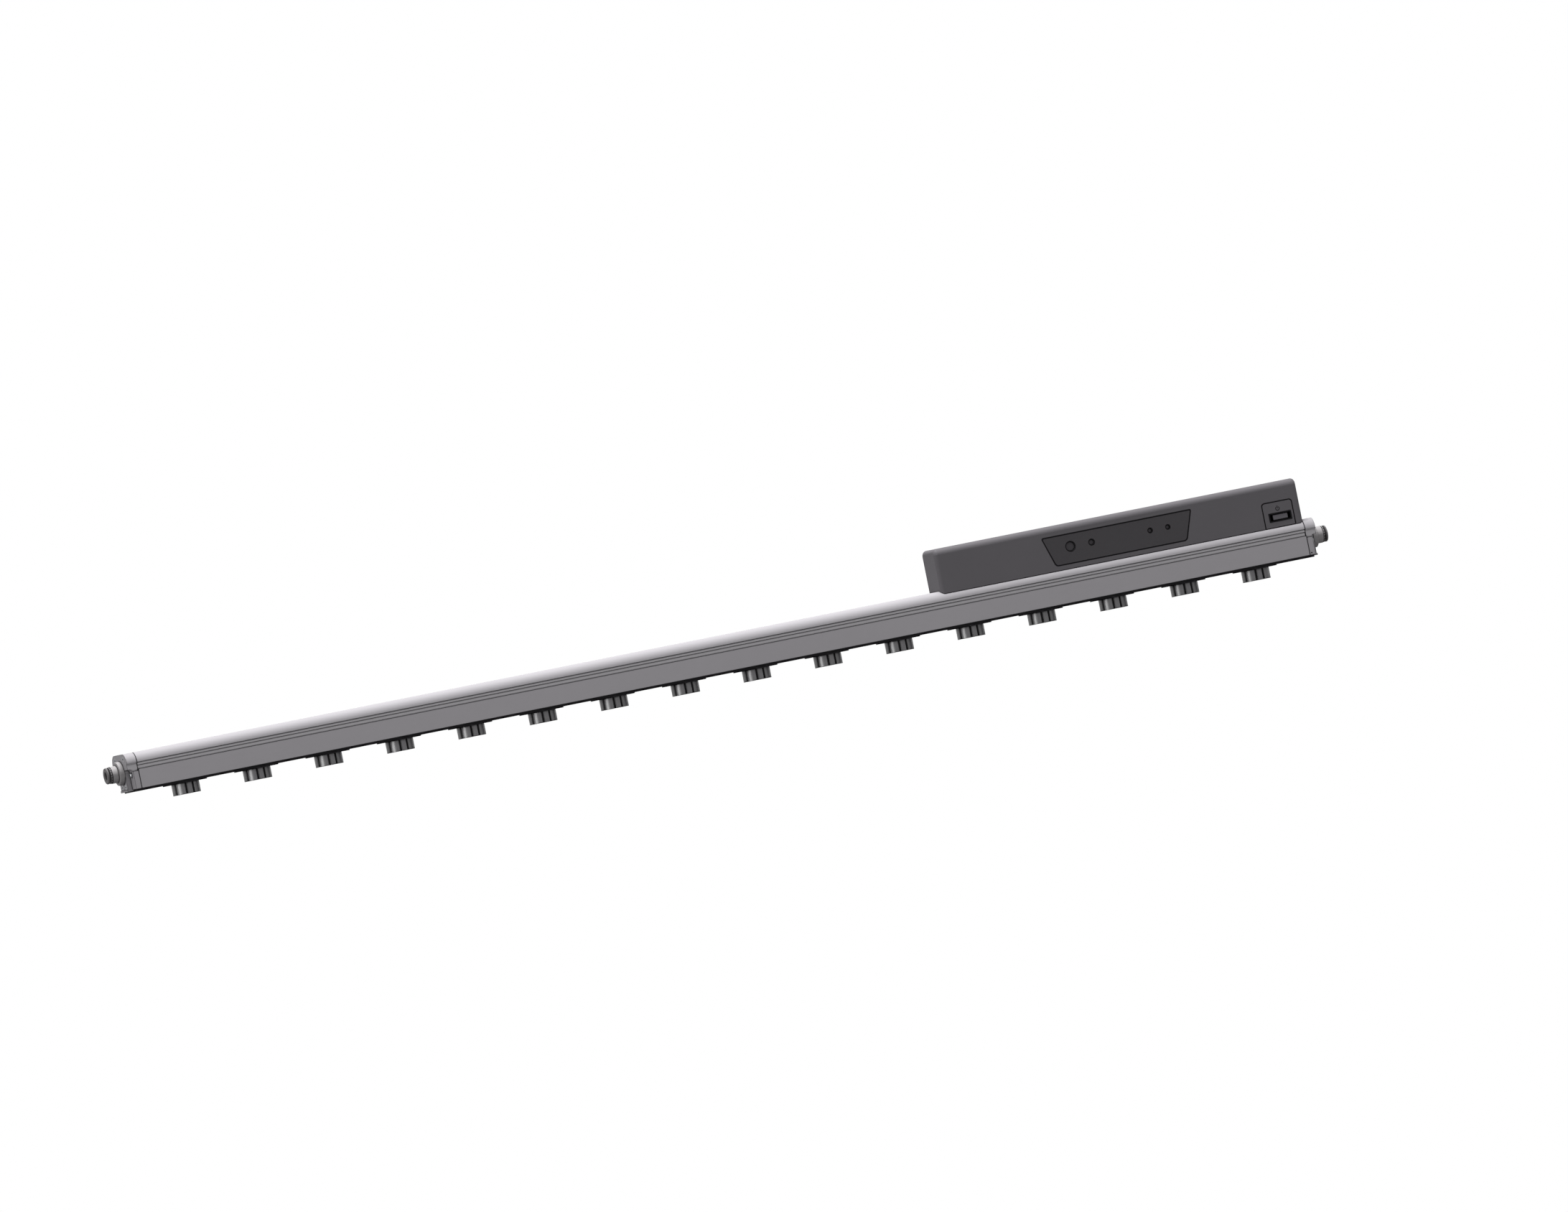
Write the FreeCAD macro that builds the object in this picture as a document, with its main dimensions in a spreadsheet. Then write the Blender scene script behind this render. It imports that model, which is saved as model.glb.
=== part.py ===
import FreeCAD, Part
import math
import os
import re

import Sketcher
from FreeCAD import Placement, Rotation, Vector

# Ionizing bar: a long plastic housing with push-in air fittings at both ends, a row of
# quarter-turn emitter cartridges underneath and a controller box on top. X runs along the
# bar, Y across it with the controller's front at -Y, and Z up. The origin is under the middle
# of the bar, on the plane of the cartridges' lower faces. All lengths are in millimetres.

# Driving sizes, in millimetres
SIZES = {
    # Bar: outside section, and the levels of the pieces that are stacked below it
    "bar_length": 1000,
    "bar_width": 37,
    "bar_top": 40.3,
    "shoulder_radius": 8,
    "shoulder_land": 0.2,
    "wall": 2.4,
    "groove_upper_height": 2.2,
    "groove_upper_depth": 1.1,
    "groove_lower_height": 3.2,
    "groove_lower_depth": 1.9,
    "knob_height": 8.8,
    "ring_height": 0.7,
    "slab_height": 1,
    "rim_height": 0.9,
    "cap_thickness": 8.4,
    "gasket_thickness": 0.4,
    # Cartridge row: evenly spaced between the first and the last, which stand in from the ends
    "cartridge_count": 16,
    "row_inset": 50,
    # Controller box: its distance from the bar's right end, and its outside
    "box_inset": 8.1,
    "box_length": 304.3,
    "box_width": 33.4,
    "box_top": 73.7,
    "box_wall": 2.2,
    # Screws: the cap screws are countersunk, the others have a pan head
    "cap_screw_radius": 1.1,
    "cap_screw_head": 2,
    "cap_screw_sink": 0.9,
    "cap_screw_length": 11,
    "cap_screw_across": 10.3,
    "cap_screw_up": 36.2,
    "foot_screw_across": 4.2,
    "foot_screw_up": 14.3,
    "notch_screw_radius": 0.9,
    "notch_screw_head": 2,
    "notch_screw_head_height": 1.8,
    "notch_screw_length": 12,
    "notch_screw_across": 13.2,
    "box_screw_radius": 1.5,
    "box_screw_head": 2.75,
    "box_screw_head_height": 1.5,
    "box_screw_length": 8,
    "cross_width": 0.7,
    "screw_gap": 0.02,
    # Levels inside the bar: the cover's tongue, the bus carrier and the room for the contacts
    "tongue_height": 2,
    "tongue_gap": 0.1,
    "carrier_height": 3,
    "contact_room": 3,
    # High-voltage lead, from the controller down to the bus
    "lead_radius": 1.8,
    "lead_gap": 0.2,
    "lead_inset": 44,
    # Screws that hold the controller base down
    "base_screw_inset": 9,
    "base_screw_gap": 5.4,
    "base_screw_across": 6,
    # Screw ports of the bar housing
    "port_radius": 2.6,
    # Bottom cover, its seats and posts, and the cartridge seals in it
    "slab_width": 34.4,
    "rim_width": 35.8,
    "cover_inset": 5,
    "seat_radius": 17.7,
    "knob_radius": 11.1,
    "knob_gap": 0.05,
    "recess_depth": 0.3,
    "recess_gap": 0.3,
    "stem_radius": 8,
    "stem_gap": 0.08,
    "lug_reach": 9.6,
    "lug_width": 3.8,
    "lug_height": 1.6,
    "lug_gap": 0.3,
    "lug_lift": 0.1,
    "seal_section": 0.45,
    "seal_inner_gap": 0.05,
    "seal_groove_height": 1,
    "seal_groove_foot": 10.9,
    "post_length": 4,
    "post_width": 12,
    "boss_length": 13,
    "boss_width": 14,
    "boss_height": 3.6,
    # Bus carrier and bus
    "carrier_gap": 0.1,
    "bus_width": 6,
    "bus_thickness": 0.6,
    "bus_end_inset": 24,
    # Contact springs
    "spring_thickness": 0.35,
    "spring_width": 2.4,
    "spring_pad": 3.2,
    "spring_foot": 2,
    "spring_spread": 9,
    "contact_gap": 0.1,
    "bridge_thickness": 0.7,
    "button_height": 0.6,
    # Emitter cartridge and its needles
    "knob_edge": 0.25,
    "dish_radius": 8.4,
    "dish_floor_radius": 7.4,
    "dish_depth": 3,
    "flute_radius": 1.4,
    "flute_depth": 0.7,
    "needle_offset": 3.6,
    "needle_radius": 0.5,
    "needle_point": 1.8,
    "needle_inset": 1.2,
    "needle_fit": 0.02,
    "nozzle_radius": 1.6,
    "nozzle_height": 10,
    "inlet_radius": 0.65,
    "inlet_offset": 1.75,
    "bridge_overhang": 0.9,
    "bridge_width": 1.9,
    "button_radius": 1.4,
    # End cap
    "flank_depth": 1.3,
    "flank_drop": 1.2,
    "lip_slope": 1,
    "notch_depth": 3.9,
    "notch_top": 27.3,
    "notch_corner": 2,
    "strip_width": 18,
    "foot_lip": 0.6,
    "foot_drop": 1,
    "foot_height": 1.6,
    "foot_gap": 0.1,
    "fitting_up": 25.8,
    "spigot_radius": 5,
    "spigot_length": 4.4,
    "spigot_fit": 0.02,
    "passage_width": 11,
    "passage_foot": 17.6,
    "passage_top": 30.8,
    "screw_clearance": 0.2,
    "pin_hole_radius": 0.5,
    "pin_hole_depth": 1.2,
    "pin_hole_inset": 7,
    "pin_hole_up": 13,
    # End gasket
    "gasket_setback": 0.4,
    # Push-in air fitting
    "collar_radius": 9.35,
    "collar_thickness": 4,
    "collar_edge": 0.5,
    "barrel_radius": 6.75,
    "barrel_length": 5.2,
    "mouth_groove": 0.4,
    "mouth_groove_radius": 6.2,
    "mouth_radius": 6.5,
    "mouth_length": 1,
    "tube_radius": 3,
    "tube_gap": 0.05,
    "air_bore_radius": 2,
    "tube_stop": 1.5,
    "seal_pocket_radius": 4.4,
    "seal_pocket_start": 3,
    "seal_pocket_length": 2.2,
    "collet_chamber_radius": 4.9,
    "collet_chamber_length": 3.8,
    "collet_length": 1.7,
    "ring_fit": 0.02,
    "ring_play": 0.1,
    "sleeve_radius": 4.2,
    "sleeve_gap": 0.06,
    "sleeve_bore_gap": 0.1,
    "release_travel": 1,
    "release_spare": 0.2,
    "flange_radius": 6.45,
    "flange_thickness": 1.4,
    "flange_edge": 0.6,
    "flange_funnel": 0.4,
    "knurl_count": 20,
    "knurl_radius": 0.4,
    # Controller base
    "base_width": 20,
    "base_thickness": 2,
    "base_inset": 3.2,
    "post_side": 8,
    "post_height": 8,
    "post_depth": 12,
    "post_start": 12,
    "cover_screw_up": 46.4,
    "board_post_depth": 7,
    "board_post_front": 9.4,
    "board_post_inset": 30,
    "post_gap": 0.1,
    # High-voltage module
    "module_start": 18,
    "module_length": 78,
    "module_width": 23,
    "module_height": 24,
    "module_edge": 1.5,
    # Control board and the parts on it
    "board_thickness": 1.6,
    "board_width": 24,
    "board_start": 122,
    "board_inset": 6,
    "transformer_start": 8,
    "transformer_length": 22,
    "transformer_width": 16,
    "transformer_height": 9,
    "chip_start": 40,
    "chip_side": 14,
    "chip_height": 3.6,
    "relay_start": 100,
    "relay_length": 26,
    "relay_width": 12,
    "relay_height": 7.2,
    "capacitor_start": 60,
    "capacitor_pitch": 16,
    "capacitor_radius": 4.5,
    "capacitor_height": 11.7,
    # Panel film, receiver window and indicator lenses
    "film_top_width": 125.8,
    "film_foot_width": 110,
    "film_foot": 41.6,
    "film_height": 23.5,
    "film_thickness": 0.5,
    "film_gap": 0.25,
    "film_foot_corner": 3.5,
    "film_top_corner": 1.2,
    "window_up": 55,
    "receiver_offset": -40.4,
    "receiver_radius": 3.75,
    "receiver_setback": 1.5,
    "lens_one_offset": -22.6,
    "lens_one_radius": 2.2,
    "lens_two_offset": 26.6,
    "lens_two_radius": 1.7,
    "lens_three_offset": 41.5,
    "lens_three_radius": 1.65,
    "lens_gap": 0.1,
    "lens_length": 4.5,
    "lens_setback": 1.4,
    # Socket plate and power socket
    "plate_inset": 6.4,
    "plate_width": 25.2,
    "plate_top": 58.1,
    "plate_corner": 2.5,
    "plate_gap": 0.2,
    "plate_flange": 1.4,
    "plate_flange_thickness": 1,
    "socket_up": 45.8,
    "socket_shift": 1.1,
    "socket_width": 18.4,
    "socket_height": 6.7,
    "socket_wall": 0.8,
    "socket_rise": 0.2,
    "socket_fit": 0.1,
    "tongue_width": 12,
    "tongue_thickness": 3.7,
    "tongue_setback": 0.4,
    "socket_depth": 6.6,
    "socket_back": 1,
    "socket_flange_width": 22,
    "socket_flange_height": 9.6,
    "socket_flange_thickness": 1,
    # Rounding of the controller cover
    "box_long_radius": 5,
    "box_end_radius": 3,
}

doc = FreeCAD.newDocument("ionizing_bar")
sheet = doc.addObject("Spreadsheet::Sheet", "dims")
for row, (alias, value) in enumerate(SIZES.items(), 1):
    sheet.set("A%d" % row, alias)
    sheet.set("B%d" % row, str(value))
    sheet.setAlias("B%d" % row, alias)
sheet.recompute()
nodes = []


def number(text):
    """The present value of a formula of aliases."""
    return float(sheet.evalExpression(text))


def bind(item, prop, text):
    """Drive one property of an object by a formula of aliases."""
    words = re.split(r"([a-z][a-z0-9_]*)", text)
    linked = ["dims." + word if word in SIZES else word for word in words]
    item.setExpression(prop, "".join(linked))


def block(x, y, z):
    """A box; x, y and z each give its two ends."""
    item = doc.addObject("Part::Box", "block")
    for side, axis, (start, end) in zip(("Length", "Width", "Height"), "xyz", (x, y, z)):
        bind(item, side, "(%s) - (%s)" % (end, start))
        bind(item, "Placement.Base." + axis, start)
    return item


ALONG = {
    "x": Rotation(Vector(0, 0, 1), Vector(1, 0, 0)),
    "y": Rotation(Vector(0, 0, 1), Vector(0, 1, 0)),
    "z": Rotation(),
}


def rod(axis, radius, span, centre):
    """A cylinder along an axis; centre gives its place on the other two axes, in their order."""
    item = doc.addObject("Part::Cylinder", "rod")
    item.Placement = Placement(Vector(), ALONG[axis])
    bind(item, "Radius", radius)
    bind(item, "Height", "(%s) - (%s)" % (span[1], span[0]))
    bind(item, "Placement.Base." + axis, span[0])
    for letter, text in zip("xyz".replace(axis, ""), centre):
        bind(item, "Placement.Base." + letter, text)
    return item


def cone(axis, first_radius, last_radius, span, centre):
    """A cone along an axis, from the first radius to the last."""
    item = doc.addObject("Part::Cone", "cone")
    item.Placement = Placement(Vector(), ALONG[axis])
    bind(item, "Radius1", first_radius)
    bind(item, "Radius2", last_radius)
    bind(item, "Height", "(%s) - (%s)" % (span[1], span[0]))
    bind(item, "Placement.Base." + axis, span[0])
    for letter, text in zip("xyz".replace(axis, ""), centre):
        bind(item, "Placement.Base." + letter, text)
    return item


def fuse(*items):
    """Join pieces that meet into one solid."""
    joined = doc.addObject("Part::MultiFuse", "fused")
    joined.Shapes = list(items)
    joined.Refine = True
    return joined


def cut(base, *tools):
    """Take one or more tools out of a solid."""
    result = doc.addObject("Part::Cut", "cut")
    result.Base = base
    result.Tool = tools[0] if len(tools) == 1 else fuse(*tools)
    return result


def corner_ends(corners, index):
    """Where the outline meets a corner and leaves it, with the arc between if it is rounded."""
    before, corner, after = corners[index - 1], corners[index], corners[(index + 1) % len(corners)]
    spots = [Vector(number(one[0]), number(one[1]), 0) for one in (before, corner, after)]
    if len(corner) == 2:
        sharp = (spots[1], corner[0], corner[1])
        return sharp, sharp, None
    arriving = (spots[1] - spots[0]).normalize()
    leaving = (spots[2] - spots[1]).normalize()
    turn = math.atan2(arriving.cross(leaving).z, arriving.dot(leaving))
    radius = number(corner[2])
    share = math.tan(abs(turn) / 2)
    ends = []
    for direction, way in ((arriving, -share), (leaving, share)):
        texts = ["(%s) + (%s) * %.9f" % (corner[axis], corner[2], way * direction[axis]) for axis in (0, 1)]
        ends.append((spots[1] + direction * (way * radius), texts[0], texts[1]))
    side = 1 if turn > 0 else -1
    centre = ends[0][0] + Vector(-arriving.y, arriving.x, 0) * (side * radius)
    return ends[0], ends[1], (centre, radius, side)


def draw(sketch, corners):
    """Draw a closed outline of (across, up) or (across, up, radius) corners, each a formula."""
    meets = [corner_ends(corners, index) for index in range(len(corners))]
    lines = []
    for index in range(len(corners)):
        after = meets[(index + 1) % len(corners)]
        lines.append(sketch.addGeometry(Part.LineSegment(meets[index][1][0], after[0][0]), False))

    def hold(kind, parts, value, text):
        place = sketch.addConstraint(Sketcher.Constraint(kind, *parts, value))
        bind(sketch, "Constraints[%d]" % place, text)

    for index, (entry, leave, arc) in enumerate(meets):
        line_in, line_out = lines[index - 1], lines[index]
        held = [(line_out, 1, leave)]
        if arc is None:
            sketch.addConstraint(Sketcher.Constraint("Coincident", line_in, 2, line_out, 1))
        else:
            centre, radius, side = arc
            held.append((line_in, 2, entry))
            angles = [math.atan2(end.y - centre.y, end.x - centre.x) for end in (entry[0], leave[0])][::side]
            circle = Part.Circle(centre, Vector(0, 0, 1), radius)
            bend = sketch.addGeometry(Part.ArcOfCircle(circle, angles[0], angles[1]), False)
            first, last = (1, 2)[::side]
            sketch.addConstraint(Sketcher.Constraint("Coincident", line_in, 2, bend, first))
            sketch.addConstraint(Sketcher.Constraint("Coincident", line_out, 1, bend, last))
            hold("Radius", (bend,), radius, corners[index][2])
        for line, end, (spot, across, up) in held:
            hold("DistanceX", (-1, 1, line, end), spot.x, across)
            hold("DistanceY", (-1, 1, line, end), spot.y, up)


def sketched_body(role, corners, offset="0"):
    """A body with one sketch on the named origin plane, moved along its normal by offset."""
    body = doc.addObject("PartDesign::Body", "body")
    sketch = body.newObject("Sketcher::SketchObject", "outline")
    sketch.AttachmentSupport = [(one, "") for one in body.Origin.OriginFeatures if one.Role == role]
    sketch.MapMode = "FlatFace"
    bind(sketch, "AttachmentOffset.Base.z", offset)
    draw(sketch, corners)
    return body, sketch


def prism(axis, corners, span):
    """An outline padded along an axis: y and z for X, x and z for Y, x and y for Z."""
    role = {"x": "YZ_Plane", "y": "XZ_Plane", "z": "XY_Plane"}[axis]
    offset = "-(%s)" % span[1] if axis == "y" else span[0]
    body, sketch = sketched_body(role, corners, offset)
    pad = body.newObject("PartDesign::Pad", "pad")
    pad.Profile = sketch
    bind(pad, "Length", "(%s) - (%s)" % (span[1], span[0]))
    return body


def turned(axis, corners):
    """A turned piece about X, from (x, radius) corners, or about Z, from (radius, z) corners."""
    body, sketch = sketched_body("XZ_Plane", corners)
    turn = body.newObject("PartDesign::Revolution", "turn")
    turn.Profile = sketch
    turn.ReferenceAxis = (sketch, ["H_Axis" if axis == "x" else "V_Axis"])
    turn.Angle = 360
    return body


def mirrored(corners):
    """An outline given by its +Y half, from the bottom to the top, with its mirror image."""
    others = [("-(%s)" % corner[0],) + tuple(corner[1:]) for corner in reversed(corners)]
    return list(corners) + others


def node(item, label):
    """Name a finished piece and list it for writing."""
    item.Label = label
    nodes.append(item)
    return item


def group(item, places, label):
    """Equal pieces in one node, each a separate solid at its own place."""
    doc.recompute([item])
    copies = []
    for place in places:
        copy = item.Shape.copy()
        copy.Placement = place.multiply(item.Shape.Placement)
        copies.append(copy)
    members = doc.addObject("Part::Feature", label)
    members.Shape = Part.makeCompound(copies)
    members.Placement = Placement()
    return node(members, label)


ENDS = (("left", 0), ("right", 180))


def at_both_ends(build, label):
    """A piece built for the left end, and the same piece turned about Z for the right end."""
    for side, angle in ENDS:
        item = build()
        piece = doc.addObject("Part::Compound", side + "_" + label)
        piece.Links = [item]
        piece.Placement = Placement(Vector(), Rotation(Vector(0, 0, 1), angle))
        node(piece, side + "_" + label)


# How far a cutting tool runs past the face that it opens
PAST = "1"

# Bar: outside section, and the levels of the pieces that are stacked below it
HALF = "bar_width / 2"
END = "-bar_length / 2"
SIDE_FOOT = "knob_height + ring_height + slab_height + rim_height"
GROOVE_TOP = "bar_top - shoulder_radius - shoulder_land"
GROOVE_STEP = GROOVE_TOP + " - groove_upper_height"
GROOVE_FOOT = GROOVE_STEP + " - groove_lower_height"
LEDGE = GROOVE_FOOT + " - wall"
CAP_INNER = END + " + cap_thickness"
HOUSING_END = CAP_INNER + " + gasket_thickness"
HOUSING = (HOUSING_END, "-(%s)" % HOUSING_END)

# Cartridge row: evenly spaced about the bar's middle
CARTRIDGE_COUNT = int(number("cartridge_count"))
PITCH = "(bar_length - 2 * row_inset) / (cartridge_count - 1)"
CARTRIDGES = ["(%d - (cartridge_count - 1) / 2) * %s" % (index, PITCH) for index in range(CARTRIDGE_COUNT)]

# Controller box: its place on the bar
BOX_END = "bar_length / 2 - box_inset"
BOX_START = BOX_END + " - box_length"
MODULE_END = BOX_START + " + module_start + module_length"
BOX_FRONT = "-box_width / 2"

# Levels inside the bar, and the places of the end caps' screws
TONGUE_TOP = SIDE_FOOT + " + tongue_height"
CARRIER_FOOT = LEDGE + " - carrier_height"
NOTCH_SCREW_UP = CARRIER_FOOT + " + carrier_height / 2"
CAP_SCREWS = [(across, "cap_screw_up") for across in ("-cap_screw_across", "cap_screw_across")]
FOOT_SCREWS = [(across, "foot_screw_up") for across in ("-foot_screw_across", "foot_screw_across")]
NOTCH_SCREWS = [(across, NOTCH_SCREW_UP) for across in ("-notch_screw_across", "notch_screw_across")]

# High-voltage lead, from the controller down to the bus in the bar
LEAD = (BOX_START + " + lead_inset", "0")
LEAD_HOLE = "lead_radius + lead_gap"

# Screws that hold the controller base down, along a line in front of the base's middle
BASE_SCREWS = [(place, "-base_screw_across") for place in (
    BOX_START + " + base_screw_inset",
    MODULE_END + " + base_screw_gap",
    BOX_START + " + box_length * 2 / 3",
    BOX_END + " - base_screw_inset",
)]

# Bar housing: one extrusion with a two-step bracket groove in each side, open below, with a
# screw port along each top corner
housing_half = [
    (HALF, SIDE_FOOT),
    (HALF, GROOVE_FOOT),
    (HALF + " - groove_lower_depth", GROOVE_FOOT),
    (HALF + " - groove_lower_depth", GROOVE_STEP),
    (HALF + " - groove_upper_depth", GROOVE_STEP),
    (HALF + " - groove_upper_depth", GROOVE_TOP),
    (HALF, GROOVE_TOP),
    (HALF, "bar_top", "shoulder_radius"),
]
cavity_half = [
    (HALF + " - wall", SIDE_FOOT + " - " + PAST),
    (HALF + " - wall", LEDGE),
    (HALF + " - groove_lower_depth - wall", LEDGE),
    (HALF + " - groove_lower_depth - wall", "bar_top - wall", "shoulder_radius - wall"),
]


def cavity(span):
    """The hollow of the housing over a stretch of X, less the screw ports."""
    ports = [rod("x", "port_radius", span, place) for place in CAP_SCREWS]
    return cut(prism("x", mirrored(cavity_half), span), *ports)


def past_ends(span):
    """A span made longer at both ends, for a tool that cuts right through."""
    return "%s - %s" % (span[0], PAST), "%s + %s" % (span[1], PAST)


def housing():
    hole_tools = [rod("z", LEAD_HOLE, ("bar_top - wall - " + PAST, "bar_top + " + PAST), LEAD)]
    for place in BASE_SCREWS:
        reach = ("bar_top - wall - " + PAST, "bar_top + " + PAST)
        hole_tools.append(rod("z", "box_screw_radius + screw_gap", reach, place))
    for place in CAP_SCREWS:
        reach = past_ends(HOUSING)
        hole_tools.append(rod("x", "cap_screw_radius + screw_gap", reach, place))
    return cut(prism("x", mirrored(housing_half), HOUSING), cavity(past_ends(HOUSING)), *hole_tools)


node(housing(), "bar_housing")

# Bottom cover: a moulded slab and rim under the walls, a tongue between them, a round seat
# with a shallow recess for each cartridge's knob, and a post between seats that holds the bus
# carrier up to its ledge
COVER_END = END + " + cover_inset"
COVER = (COVER_END, "-(%s)" % COVER_END)
SLAB_FOOT = "knob_height + ring_height"
RIM_FOOT = SLAB_FOOT + " + slab_height"
BORE = "stem_radius + stem_gap"
SEAL_RADIUS = "stem_radius + seal_inner_gap + seal_section"
SEAL_LEVEL = "seal_groove_foot + seal_groove_height / 2"


def about_middle(width):
    """A span of the given width about zero."""
    return "-(%s) / 2" % width, "(%s) / 2" % width


def bottom_cover():
    tongue_end = CAP_INNER + " + tongue_gap"
    tongue = (tongue_end, "-(%s)" % tongue_end)
    solids = [
        block(COVER, about_middle("slab_width"), (SLAB_FOOT, RIM_FOOT)),
        block(COVER, about_middle("rim_width"), (RIM_FOOT, SIDE_FOOT)),
        block(tongue, about_middle("bar_width - 2 * wall - 2 * tongue_gap"), (SIDE_FOOT, TONGUE_TOP)),
        block((tongue_end, tongue_end + " + boss_length"), about_middle("boss_width"),
              (TONGUE_TOP, TONGUE_TOP + " + boss_height")),
        block(("-(%s) - boss_length" % tongue_end, "-(%s)" % tongue_end), about_middle("boss_width"),
              (TONGUE_TOP, TONGUE_TOP + " + boss_height")),
    ]
    tools = []
    for place in FOOT_SCREWS:
        tools.append(rod("x", "cap_screw_radius + screw_gap", past_ends(HOUSING), place))
    for centre in CARTRIDGES:
        solids.append(rod("z", "seat_radius", ("knob_height", SLAB_FOOT), (centre, "0")))
        through = ("knob_height - " + PAST, TONGUE_TOP + " + " + PAST)
        groove = ("seal_groove_foot", "seal_groove_foot + seal_groove_height")
        tools.append(rod("z", BORE, through, (centre, "0")))
        recess = ("knob_height - " + PAST, "knob_height + recess_depth")
        tools.append(rod("z", "knob_radius + recess_gap", recess, (centre, "0")))
        tools.append(rod("z", SEAL_RADIUS + " + seal_section", groove, (centre, "0")))
        slot = about_middle("2 * lug_reach + 2 * lug_gap")
        slot = tuple("%s + %s" % (centre, end) for end in slot)
        tools.append(block(slot, about_middle("lug_width + 2 * lug_gap"), through))
    for centre in CARTRIDGES[:-1]:
        middle = "%s + %s / 2" % (centre, PITCH)
        solids.append(block((middle + " - post_length / 2", middle + " + post_length / 2"),
                            about_middle("post_width"), (TONGUE_TOP, CARRIER_FOOT)))
    return cut(fuse(*solids), *tools)


node(bottom_cover(), "bottom_cover")

# Square-cut seal ring in the groove of each cartridge bore
seal_span = (SEAL_LEVEL + " - seal_section", SEAL_LEVEL + " + seal_section")
seal_outside = rod("z", SEAL_RADIUS + " + seal_section", seal_span, ("0", "0"))
seal = cut(seal_outside, rod("z", SEAL_RADIUS + " - seal_section", past_ends(seal_span), ("0", "0")))
row_places = [Placement(Vector(number(centre), 0, 0), Rotation()) for centre in CARTRIDGES]
group(seal, row_places, "cartridge_seals")

# Bus carrier: an insulating strip that lies under the housing's inner ledge, with the bus in
# a slot in its underside
carrier_end = HOUSING_END + " + carrier_gap"
carrier_span = (carrier_end, "-(%s)" % carrier_end)
bus_end = END + " + bus_end_inset"
bus_span = (bus_end, "-(%s)" % bus_end)
BUS_TOP = CARRIER_FOOT + " + bus_thickness"
carrier = block(carrier_span, about_middle("bar_width - 2 * wall - 2 * carrier_gap"), (CARRIER_FOOT, LEDGE))
carrier_tools = [
    block(bus_span, about_middle("bus_width"), (CARRIER_FOOT + " - " + PAST, BUS_TOP)),
    rod("z", LEAD_HOLE, (CARRIER_FOOT, LEDGE + " + " + PAST), LEAD),
]
for place in NOTCH_SCREWS:
    carrier_tools.append(rod("x", "notch_screw_radius + screw_gap", past_ends(HOUSING), place))
node(cut(carrier, *carrier_tools), "bus_carrier")
node(block(bus_span, about_middle("bus_width"), (CARRIER_FOOT, BUS_TOP)), "high_voltage_bus")

# Contact spring over each cartridge: a strip bent like a hat, its feet on the bus
STEM_TOP = CARRIER_FOOT + " - contact_room - bridge_thickness - button_height - contact_gap"
SPRING_FOOT = CARRIER_FOOT + " - contact_room"
spring_half = [
    ("spring_pad / 2", SPRING_FOOT),
    ("spring_spread / 2", CARRIER_FOOT + " - spring_thickness"),
    ("spring_spread / 2 + spring_foot", CARRIER_FOOT + " - spring_thickness"),
    ("spring_spread / 2 + spring_foot", CARRIER_FOOT),
    ("spring_spread / 2 - spring_thickness / 2", CARRIER_FOOT),
    ("spring_pad / 2 - spring_thickness / 2", SPRING_FOOT + " + spring_thickness"),
]
spring = prism("y", mirrored(spring_half), about_middle("spring_width"))
group(spring, row_places, "contact_springs")

# Emitter cartridge: a moulded knob with finger flutes, a dished face with two air nozzles,
# and a stem whose two lugs turn in behind the cover
FLUTE_ANGLES = [side + step for side in (0, 180) for step in (-66, -15.5, 15.5, 66)]
KNOB_TOP = "knob_height + recess_depth - knob_gap"
NOZZLE_TOP = "dish_depth + nozzle_height"
NEEDLES = [("-needle_offset", "0"), ("needle_offset", "0")]


def emitter_cartridge():
    outline = [
        ("0", "dish_depth"),
        ("dish_floor_radius", "dish_depth"),
        ("dish_radius", "0"),
        ("knob_radius", "0", "knob_edge"),
        ("knob_radius", KNOB_TOP),
        ("stem_radius", KNOB_TOP),
        ("stem_radius", STEM_TOP),
        ("0", STEM_TOP),
    ]
    lug_foot = TONGUE_TOP + " + lug_lift"
    lug_levels = (lug_foot, lug_foot + " + lug_height")
    lugs = block(about_middle("lug_width"), about_middle("2 * lug_reach"), lug_levels)
    tools = []
    flute_centre = "(knob_radius - flute_depth + flute_radius)"
    for angle in FLUTE_ANGLES:
        across, along = math.sin(math.radians(angle)), -math.cos(math.radians(angle))
        place = ("%s * %.9f" % (flute_centre, across), "%s * %.9f" % (flute_centre, along))
        tools.append(rod("z", "flute_radius", ("-" + PAST, KNOB_TOP), place))
    for place in NEEDLES:
        tools.append(rod("z", "nozzle_radius", (PAST, NOZZLE_TOP), place))
        tools.append(rod("z", "needle_radius + needle_fit", (PAST, STEM_TOP + " + " + PAST), place))
        for side in ("-inlet_offset", "inlet_offset"):
            reach = (NOZZLE_TOP + " - " + PAST, STEM_TOP + " + " + PAST)
            tools.append(rod("z", "inlet_radius", reach, (place[0], side)))
    return cut(fuse(turned("z", outline), lugs), *tools)


def electrode_needles():
    solids = [
        block(about_middle("2 * needle_offset + 2 * bridge_overhang"), about_middle("bridge_width"),
              (STEM_TOP, STEM_TOP + " + bridge_thickness")),
        rod("z", "button_radius", (STEM_TOP, STEM_TOP + " + bridge_thickness + button_height"), ("0", "0")),
    ]
    shoulder = "needle_inset + needle_point"
    for place in NEEDLES:
        solids.append(rod("z", "needle_radius", (shoulder, STEM_TOP + " + bridge_thickness"), place))
        solids.append(cone("z", "0", "needle_radius", ("needle_inset", shoulder), place))
    return fuse(*solids)


for label, first in (("emitter_cartridge", emitter_cartridge()), ("electrode_needles", electrode_needles())):
    doc.recompute([first])
    for index, centre in enumerate(CARTRIDGES):
        copy = doc.addObject("Part::Feature", label)
        copy.Shape = first.Shape.copy()
        copy.Placement = Placement()
        bind(copy, "Placement.Base.x", centre)
        node(copy, "%s_%02d" % (label, index + 1))

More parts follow.
